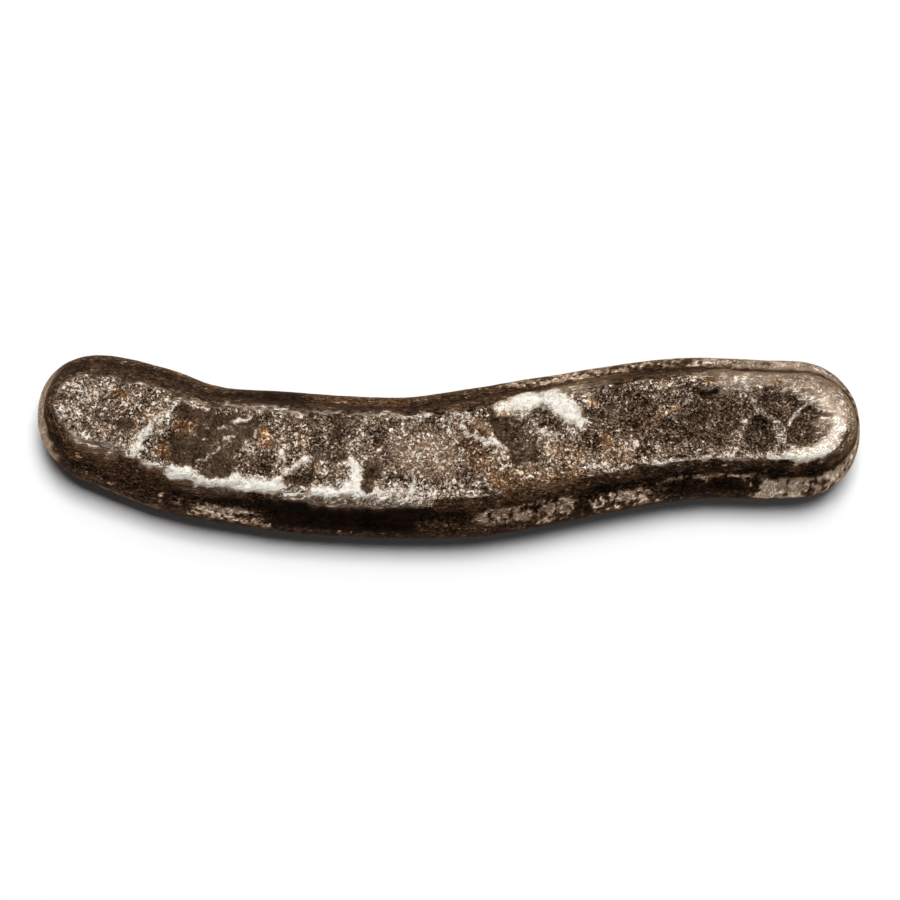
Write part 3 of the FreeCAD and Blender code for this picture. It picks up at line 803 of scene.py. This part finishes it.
def tarnished_cast_silver(skin):
    """Cast silver under sulphide tarnish and burial dirt, poured in an open mould.

    Bare metal shows as white glints on the grit's tops, which are painted highlights as well, and as
    smooth grey where it is worn.
    Everything lower holds dull brown to black tarnish, painted darker as shade as well, with rusty
    stains.
    """
    material, tree, output = new_material("Tarnished cast silver")
    add = partial(add_node, tree)
    place = add("ShaderNodeTexCoord").outputs["Object"]
    tone, grain, rust, smooth, streak = (
        add("ShaderNodeAttribute", {"attribute_name": name}).outputs["Fac"]
        for name in LAYERS
    )
    # Grit broken by crystals, and on the sides drawn out along the bar into streaks.
    drawn_out = add("ShaderNodeMapping", {"Scale": (0.6, 1.0, 1.0)}, {"Vector": place})
    laid = add("ShaderNodeMix", {"data_type": "VECTOR"}, {0: streak, 4: place, 5: drawn_out})
    grit = add("ShaderNodeTexNoise", {
        "Scale": per_metre(GRIT), "Detail": 6.0, "Roughness": 0.78, "Distortion": 0.4,
    }, {"Vector": laid.outputs[1]})
    crystal = add("ShaderNodeTexVoronoi", {"Scale": per_metre(CRYSTAL)}, {"Vector": laid.outputs[1]})
    facet = add("ShaderNodeSeparateColor", links={"Color": crystal.outputs["Color"]})
    crumbs = add("ShaderNodeMix", {0: 0.25}, {2: grit, 3: facet.outputs["Red"]})
    # The crumbs are skewed, so that few of them are much paler than the rest.
    skewed = add("ShaderNodeMath", {"operation": "POWER", 1: 2.8}, {0: crumbs})
    swing = add("ShaderNodeMath", {"operation": "MULTIPLY_ADD", 1: 2.4, 2: -0.46}, {0: skewed})
    swung = add("ShaderNodeMath", {"operation": "MULTIPLY_ADD"}, {0: swing, 1: grain, 2: tone})
    # Glints of clean silver, painted in as highlights: thin winding lines, which show only where a
    # second noise stands over a level, so that they break up. The paler the tarnish is, the lower the
    # level.
    winding = add("ShaderNodeTexNoise", {
        "Scale": per_metre(GLINT_LOOPS), "Detail": 1.5, "Roughness": 0.55, "Distortion": 1.2,
    }, {"Vector": laid.outputs[1]})
    off_line = add("ShaderNodeMath", {"operation": "SUBTRACT", 1: 0.5}, {0: winding})
    gap = add("ShaderNodeMath", {"operation": "ABSOLUTE"}, {0: off_line})
    line = add("ShaderNodeMapRange", {
        "interpolation_type": "SMOOTHSTEP", "From Min": 0.045, "From Max": 0.10, "To Min": 1.0,
        "To Max": 0.15,
    }, {"Value": gap})
    breaks = add("ShaderNodeTexNoise", {
        "Scale": per_metre(GLINT_GAPS), "Detail": 3.0, "Roughness": 0.60, "Distortion": 0.6,
    }, {"Vector": laid.outputs[1]})
    level = add("ShaderNodeMapRange", {
        "From Min": 0.15, "From Max": 0.80, "To Min": 0.67, "To Max": 0.36,
    }, {"Value": tone})
    over = add("ShaderNodeMath", {"operation": "SUBTRACT"}, {0: breaks, 1: level})
    shown = add("ShaderNodeMapRange", {
        "interpolation_type": "SMOOTHSTEP", "From Max": 0.05, "To Max": 0.80,
    }, {"Value": over})
    painted_glint = add("ShaderNodeMath", {"operation": "MULTIPLY"}, {0: shown, 1: line})
    lit = add("ShaderNodeMath", {"operation": "MULTIPLY_ADD"}, {0: painted_glint, 1: grain, 2: swung})
    scale = add("ShaderNodeValToRGB", links={"Fac": lit})
    ramp = scale.color_ramp
    ramp.elements[0].color = skin.black
    ramp.elements[1].color = skin.silver
    for at, colour in ((0.13, skin.umber), (0.30, skin.brown), (0.43, skin.taupe),
                       (0.60, skin.dust), (0.80, skin.dull_silver)):
        ramp.elements.new(at).color = colour
    # Rust tints the middle tones most.
    cloud = add("ShaderNodeTexNoise", {
        "Scale": per_metre(RUST_CLOUDS), "Detail": 5.0, "Roughness": 0.65,
    }, {"Vector": place})
    blotch = add("ShaderNodeMath", {"operation": "SUBTRACT", 1: 0.5}, {0: cloud})
    rusty = add("ShaderNodeMath", {"operation": "ADD", "use_clamp": True}, {0: rust, 1: blotch})
    colour = add("ShaderNodeMix", {
        "data_type": "RGBA", "blend_type": "MULTIPLY", 7: skin.rust,
    }, {0: rusty, 6: scale})
    # Cleaner silver is shinier and barer of dirt, so it mirrors more, and worn silver most.
    polish = add("ShaderNodeMapRange", {
        "From Min": 0.15, "From Max": 0.85, "To Min": 0.60, "To Max": 0.36,
    }, {"Value": lit})
    worn = add("ShaderNodeMath", {"operation": "MULTIPLY_ADD", 1: -0.12}, {0: smooth, 2: polish})
    conduct = add("ShaderNodeMapRange", {
        "From Min": 0.10, "From Max": 0.60, "To Min": 0.55, "To Max": 1.0,
    }, {"Value": lit})
    # Crumbs and glints stand up, the more so the grainier the skin is.
    stands = add("ShaderNodeMath", {"operation": "MULTIPLY_ADD", 1: 0.5}, {0: painted_glint, 2: crumbs})
    rise = add("ShaderNodeMath", {"operation": "MULTIPLY"}, {0: stands, 1: grain})
    bump = add("ShaderNodeBump", {"Strength": 1.0, "Distance": GRIT_HEIGHT * MM}, {"Height": rise})
    # The dirt's own gloss is faint and warm, so that the bevels don't turn grey at a low angle.
    surface = add("ShaderNodeBsdfPrincipled", {
        "Specular IOR Level": 0.06, "Specular Tint": srgb("#B4A491"),
    }, {
        "Base Color": colour.outputs[2], "Roughness": worn,
        "Metallic": conduct, "Normal": bump,
    })
    tree.links.new(surface.outputs["BSDF"], output.inputs["Surface"])
    return material


def looked_at(tree):
    """A socket that is 1 where the camera, a mirror or glass looks, and 0 where light is shed."""
    seen = add_node(tree, "ShaderNodeLightPath")
    camera_or_gloss = add_node(tree, "ShaderNodeMath", {"operation": "ADD"}, {
        0: seen.outputs["Is Camera Ray"], 1: seen.outputs["Is Glossy Ray"],
    })
    any_of_three = add_node(tree, "ShaderNodeMath", {"operation": "ADD", "use_clamp": True}, {
        0: camera_or_gloss, 1: seen.outputs["Is Transmission Ray"],
    })
    return any_of_three.outputs[0]


def seamless_paper(name, glow):
    """White background paper: matt, and lifted by a little glow where it is seen, not lit."""
    material, tree, output = new_material(name)
    paper = add_node(tree, "ShaderNodeBsdfDiffuse", {"Color": srgb("#FAFAFA")})
    light = add_node(tree, "ShaderNodeEmission", {"Strength": glow})
    lift = add_node(tree, "ShaderNodeMixShader", links={0: looked_at(tree), 2: light})
    both = add_node(tree, "ShaderNodeAddShader", links={0: paper, 1: lift})
    tree.links.new(both.outputs[0], output.inputs["Surface"])
    return material


# ---- the stage ----
VIEW_ELEVATION = 76.0     # degrees above the floor
LENS = 120.0              # mm
VIEW_DISTANCE = 415.3     # mm from the bar's middle
AIM = (0.21, -0.54, 5.0)  # mm, where the camera looks
SENSOR = 36.0             # mm
FLOOR_RADIUS = 2.5        # m
FLOOR_CORNERS = 96
FLAG = (1.6, 0.75, 0.75)  # m: how wide and high the black card is, and how far in front
LAMPS = [                 # (name, turn, elevation, distance in m, size in m, power, glare)
    ("key_softbox", 22.0, 75.0, 1.6, 0.80, "key_power", False),
    ("sheen_softbox", 0.0, 56.0, 1.6, 0.70, "sheen_power", True),
    ("fill_card", 130.0, 35.0, 0.3, 0.15, "fill_power", True),
]


def set_floor(studio):
    """A round floor under the bar: one flat face, with its corners on a circle."""
    turns = np.linspace(0, 2 * math.pi, FLOOR_CORNERS, endpoint=False)
    rim = np.stack([np.cos(turns), np.sin(turns), 0 * turns], axis=1) * FLOOR_RADIUS
    floor = new_object("studio_floor", rim, [list(range(len(rim)))])
    floor.data.materials.append(seamless_paper("White background paper", studio.floor_glow))


def set_light(name, turn, elevation, distance, size, power, glare):
    """A square lamp that looks at the bar, from a turn about +Z (0 is +Y) and an elevation.

    A lamp without glare lights the bar but isn't mirrored in it, as behind a polariser.
    """
    lamp = bpy.data.lights.new(name, "AREA")
    lamp.shape = "SQUARE"
    lamp.size = size
    lamp.energy = power
    thing = bpy.data.objects.new(name, lamp)
    a, e = math.radians(turn), math.radians(elevation)
    towards = Vector((math.sin(a) * math.cos(e), math.cos(a) * math.cos(e), math.sin(e)))
    thing.visible_glossy = glare
    thing.location = towards * distance
    thing.rotation_euler = towards.to_track_quat("Z", "Y").to_euler()
    bpy.context.scene.collection.objects.link(thing)


def set_world(studio):
    """Plain ambient light, with white wherever the background itself is looked at."""
    world = bpy.data.worlds.new("Studio")
    world.use_nodes = True
    tree = world.node_tree
    tree.nodes.clear()
    white = srgb("#FFFFFF")
    ambient = add_node(tree, "ShaderNodeBackground", {"Color": white, "Strength": studio.ambient})
    backdrop = add_node(tree, "ShaderNodeBackground", {"Color": white, "Strength": 1.0})
    both = add_node(tree, "ShaderNodeMixShader", links={
        0: looked_at(tree), 1: ambient, 2: backdrop,
    })
    output = add_node(tree, "ShaderNodeOutputWorld")
    tree.links.new(both.outputs[0], output.inputs["Surface"])
    bpy.context.scene.world = world


def set_flag():
    """A black card in front of the bar, which keeps the bevel dark and is itself out of view."""
    wide, high, away = FLAG
    corners = [(-wide / 2, -away, 0.0), (wide / 2, -away, 0.0),
               (wide / 2, -away, high), (-wide / 2, -away, high)]
    card = new_object("black_flag", corners, [[3, 2, 1, 0]])
    material, tree, output = new_material("Black felt")
    felt = add_node(tree, "ShaderNodeBsdfDiffuse", {"Color": srgb("#050505")})
    tree.links.new(felt.outputs[0], output.inputs["Surface"])
    card.data.materials.append(material)
    card.visible_camera = False


def set_camera():
    """The camera, looking down along +Y at the bar's middle."""
    camera = bpy.data.cameras.new("Camera")
    camera.lens = LENS
    camera.sensor_width = SENSOR
    camera.clip_start = 0.01
    thing = bpy.data.objects.new("Camera", camera)
    e = math.radians(VIEW_ELEVATION)
    back = Vector((0.0, -math.cos(e), math.sin(e)))
    thing.location = Vector(AIM) * MM + back * VIEW_DISTANCE * MM
    thing.rotation_euler = back.to_track_quat("Z", "Y").to_euler()
    bpy.context.scene.collection.objects.link(thing)
    bpy.context.scene.camera = thing


# ---- the add-on ----
def number_property(name, description, default, **limits):
    """A number that can't be negative. Sizes are in millimetres, shown as plain numbers."""
    return bpy.props.FloatProperty(
        name=name, description=description, default=default, min=0.0, **limits,
    )


def colour_property(name, description, code):
    """A colour with its alpha, given as sRGB hex."""
    return bpy.props.FloatVectorProperty(
        name=name, description=description, default=srgb(code), size=4, subtype="COLOR",
        min=0.0, max=1.0,
    )


class SilverBarForm(bpy.types.PropertyGroup):
    """The bar's sizes."""

    width: number_property("Width", "Across the broadest place, in mm", WIDTH)
    thickness: number_property("Thickness", "From foot to rough face, in mm", HIGH[2] - LOW[2])
    root_drop: number_property("Crease drop", "From the rough face to the crease, in mm", ROOT_DROP)
    relief: number_property("Relief", "Strength of the casting's relief", 1.0, max=2.0)


class SilverBarSkin(bpy.types.PropertyGroup):
    """The colours of the bar's skin."""

    # Silver is also the colour of the painted highlights
    silver: colour_property("Silver", "Clean bare silver", "#FFFAF0")
    dull_silver: colour_property("Dull silver", "Silver under a thin tarnish", "#D8CBBC")
    dust: colour_property("Dust", "The palest tarnish and dirt", "#AE9B87")
    taupe: colour_property("Taupe", "Middling tarnish", "#816E5E")
    brown: colour_property("Brown", "Brown tarnish", "#5C4A3A")
    umber: colour_property("Umber", "Dark brown tarnish", "#2A1E15")
    black: colour_property("Black", "Black sulphide tarnish", "#050302")
    rust: colour_property("Rust", "What stains multiply the tarnish by", "#FFD3A0")


class SilverBarStudio(bpy.types.PropertyGroup):
    """The light and the floor."""

    key_power: number_property("Key lamp", "Power of the main lamp", 25.5, unit="POWER")
    sheen_power: number_property("Sheen lamp", "Power of the mirrored lamp", 5.0, unit="POWER")
    fill_power: number_property("Fill lamp", "Power of the lamp by the right tip", 0.03, unit="POWER")
    ambient: number_property("Ambient", "Strength of the light from all round", 0.015)
    floor_glow: number_property("Floor lift", "How far the floor is lifted to white", 0.005)


class OBJECT_OT_cast_silver_bar(bpy.types.Operator):
    """Cast the silver bar and lay its tarnished skin on it"""

    bl_idname = "object.cast_silver_bar"
    bl_label = "Cast Silver Bar"

    def execute(self, context):
        piece = cast_bar(context.scene.silver_bar_form)
        piece.data.materials.append(tarnished_cast_silver(context.scene.silver_bar_skin))
        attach(piece, "root")
        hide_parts(NODE)
        return {"FINISHED"}


class SCENE_OT_silver_bar_stage(bpy.types.Operator):
    """Set the floor, the lamps, the flag and the camera"""

    bl_idname = "scene.silver_bar_stage"
    bl_label = "Set Silver Bar Stage"

    def execute(self, context):
        studio = context.scene.silver_bar_studio
        set_floor(studio)
        set_world(studio)
        for name, turn, elevation, distance, size, power, glare in LAMPS:
            set_light(name, turn, elevation, distance, size, getattr(studio, power), glare)
        set_flag()
        set_camera()
        context.scene.view_settings.view_transform = "Standard"
        return {"FINISHED"}


class VIEW3D_PT_silver_bar(bpy.types.Panel):
    """The bar's sizes, its colours, and a button for each step"""

    bl_idname = "VIEW3D_PT_silver_bar"
    bl_label = "Silver Bar"
    bl_space_type = "VIEW_3D"
    bl_region_type = "UI"
    bl_category = "Silver Bar"

    def draw(self, context):
        for name, group in GROUPS.items():
            box = self.layout.box()
            for value in group.__annotations__:
                box.prop(getattr(context.scene, name), value)
        self.layout.operator(OBJECT_OT_cast_silver_bar.bl_idname)
        self.layout.operator(SCENE_OT_silver_bar_stage.bl_idname)


GROUPS = {
    "silver_bar_form": SilverBarForm,
    "silver_bar_skin": SilverBarSkin,
    "silver_bar_studio": SilverBarStudio,
}
CLASSES = (
    *GROUPS.values(), OBJECT_OT_cast_silver_bar, SCENE_OT_silver_bar_stage, VIEW3D_PT_silver_bar,
)


def register():
    """Registers the classes and hangs the property groups on the scene."""
    for cls in CLASSES:
        bpy.utils.register_class(cls)
    for name, group in GROUPS.items():
        setattr(bpy.types.Scene, name, bpy.props.PointerProperty(type=group))


def unregister():
    """Takes the property groups off the scene and unregisters the classes."""
    for name in GROUPS:
        delattr(bpy.types.Scene, name)
    for cls in reversed(CLASSES):
        bpy.utils.unregister_class(cls)


def main():
    """Builds the bar and its stage."""
    register()
    bpy.ops.object.cast_silver_bar()
    bpy.ops.scene.silver_bar_stage()


if __name__ == "__main__":
    main()
